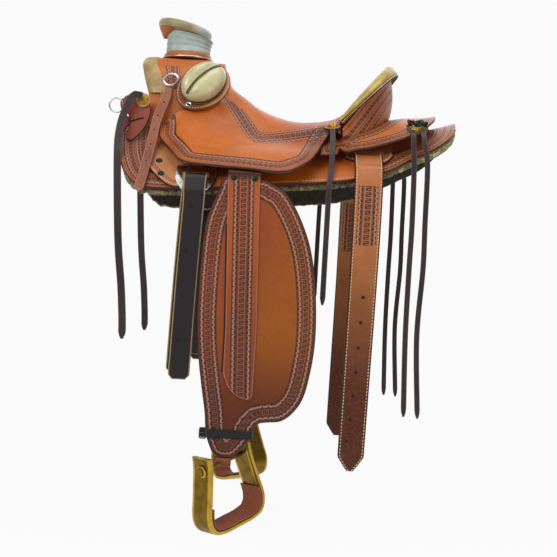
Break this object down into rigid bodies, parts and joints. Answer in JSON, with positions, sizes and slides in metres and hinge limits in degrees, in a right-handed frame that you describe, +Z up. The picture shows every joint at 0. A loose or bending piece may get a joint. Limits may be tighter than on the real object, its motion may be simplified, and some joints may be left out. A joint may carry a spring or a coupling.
{
  "type": "ranch saddle",
  "caption": "Leather ranch saddle with a wrapped horn, bucking rolls, tooled fenders, bound stirrups, rigging plates, latigo, flank billets, fleece lining and tie strings.",
  "frame": {"origin": "on the centre plane, where the tree rests on a horse's back or a rack, 45 mm under the crown of the skirts", "axes": "+X towards the cantle (rear), -X towards the horn (front), -Y the near (left) side, +Z up"},
  "size_m": [0.7434, 0.7194, 1.054],
  "materials": {
    "saddle_leather": "oiled, tooled",
    "fender_leather": "oiled, tooled",
    "dark_leather": "waxed",
    "red_leather": "matte",
    "rawhide": "glossy",
    "roll_leather": "glossy",
    "mulehide": "matte",
    "fleece": "wool pile",
    "wood": "plain",
    "brass": "hammered",
    "steel": "polished"
  },
  "bodies": {
    "saddle": {"horn_cap": "mulehide", "horn_wrap": "mulehide", "horn_collar": "saddle_leather", "horn_post": "wood", "fork_cover": "saddle_leather", "gullet_binding": "rawhide", "tree_fork": "wood", "tree_cantle": "wood", "tree_bar_left": "wood", "tree_bar_right": "wood", "ground_seat": "wood", "seat_leather": "saddle_leather", "cantle_back": "saddle_leather", "cantle_binding": "rawhide", "rear_jockey_left": "saddle_leather", "rear_jockey_right": "saddle_leather", "skirt_left": "saddle_leather", "skirt_right": "saddle_leather", "sheepskin_left": "fleece", "sheepskin_right": "fleece", "front_rigging_left": "saddle_leather", "front_rigging_right": "saddle_leather", "rear_rigging_left": "saddle_leather", "rear_rigging_right": "saddle_leather", "rig_plate_left": "steel", "rig_plate_right": "steel", "stirrup_run_left": "fender_leather", "stirrup_run_right": "fender_leather", "bucking_roll_left": "roll_leather", "bucking_roll_right": "roll_leather", "bucking_roll_base_left": "saddle_leather", "bucking_roll_base_right": "saddle_leather", "rope_buckle": "steel", "latigo_keeper": "red_leather", "front_string_left": "dark_leather", "front_string_right": "dark_leather", "seat_string_left": "dark_leather", "seat_string_right": "dark_leather", "rear_string_left": "dark_leather", "rear_string_right": "dark_leather"},
    "hanger_left": {"stirrup_hanger_left": "fender_leather"},
    "hanger_right": {"stirrup_hanger_right": "fender_leather"},
    "fender_group_left": {"stirrup_leather_left": "fender_leather", "fender_left": "fender_leather", "hobble_strap_left": "dark_leather"},
    "fender_group_right": {"stirrup_leather_right": "fender_leather", "fender_right": "fender_leather", "hobble_strap_right": "dark_leather"},
    "stirrup_group_left": {"stirrup_left": "brass", "stirrup_bolt_left": "steel", "stirrup_tread_left": "red_leather"},
    "stirrup_group_right": {"stirrup_right": "brass", "stirrup_bolt_right": "steel", "stirrup_tread_right": "red_leather"},
    "latigo": {"latigo_left": "dark_leather"},
    "off_billet": {"off_billet_right": "dark_leather"},
    "flank_left": {"flank_billet_left": "saddle_leather"},
    "flank_right": {"flank_billet_right": "saddle_leather"},
    "rope_strap": {"rope_strap": "red_leather"},
    "breast_ring": {"breast_ring": "steel"}
  },
  "joints": [
    {"name": "fender_lift_left", "type": "hinge", "parent": "saddle", "child": "hanger_left", "pos_m": [-0.077, -0.29015, -0.0495], "axis": [-1, 0, 0], "range_deg": [0, 45]},
    {"name": "fender_lift_right", "type": "hinge", "parent": "saddle", "child": "hanger_right", "pos_m": [-0.077, 0.29015, -0.0495], "axis": [1, 0, 0], "range_deg": [0, 45]},
    {"name": "fender_swing_left", "type": "hinge", "parent": "hanger_left", "child": "fender_group_left", "pos_m": [-0.077, -0.295, -0.062], "axis": [0, -1, 0], "range_deg": [-25, 15]},
    {"name": "fender_swing_right", "type": "hinge", "parent": "hanger_right", "child": "fender_group_right", "pos_m": [-0.077, 0.295, -0.062], "axis": [0, -1, 0], "range_deg": [-25, 15]},
    {"name": "stirrup_turn_left", "type": "hinge", "parent": "fender_group_left", "child": "stirrup_group_left", "pos_m": [-0.088, -0.2973, -0.6125], "axis": [0.6588, 0.7064, 0.2588], "range_deg": [-35, 35]},
    {"name": "stirrup_turn_right", "type": "hinge", "parent": "fender_group_right", "child": "stirrup_group_right", "pos_m": [-0.088, 0.2973, -0.6125], "axis": [-0.6588, 0.7064, -0.2588], "range_deg": [-35, 35]},
    {"name": "latigo_swing", "type": "hinge", "parent": "saddle", "child": "latigo", "pos_m": [-0.1745, -0.258, -0.0535], "axis": [-1, 0, 0], "range_deg": [0, 40]},
    {"name": "off_billet_swing", "type": "hinge", "parent": "saddle", "child": "off_billet", "pos_m": [-0.1745, 0.258, -0.0535], "axis": [1, 0, 0], "range_deg": [0, 40]},
    {"name": "flank_billet_swing_left", "type": "hinge", "parent": "saddle", "child": "flank_left", "pos_m": [0.168, -0.202, 0.01], "axis": [-1, 0, 0], "range_deg": [0, 25]},
    {"name": "flank_billet_swing_right", "type": "hinge", "parent": "saddle", "child": "flank_right", "pos_m": [0.168, 0.202, 0.01], "axis": [1, 0, 0], "range_deg": [0, 25]},
    {"name": "rope_strap_swing", "type": "hinge", "parent": "saddle", "child": "rope_strap", "pos_m": [-0.249, -0.1305, 0.136], "axis": [-1, 0, 0], "range_deg": [0, 60]},
    {"name": "breast_ring_turn", "type": "hinge", "parent": "saddle", "child": "breast_ring", "pos_m": [-0.3426, -0.16, 0.094], "axis": [0, 0, 1], "range_deg": [-80, 80]}
  ]
}
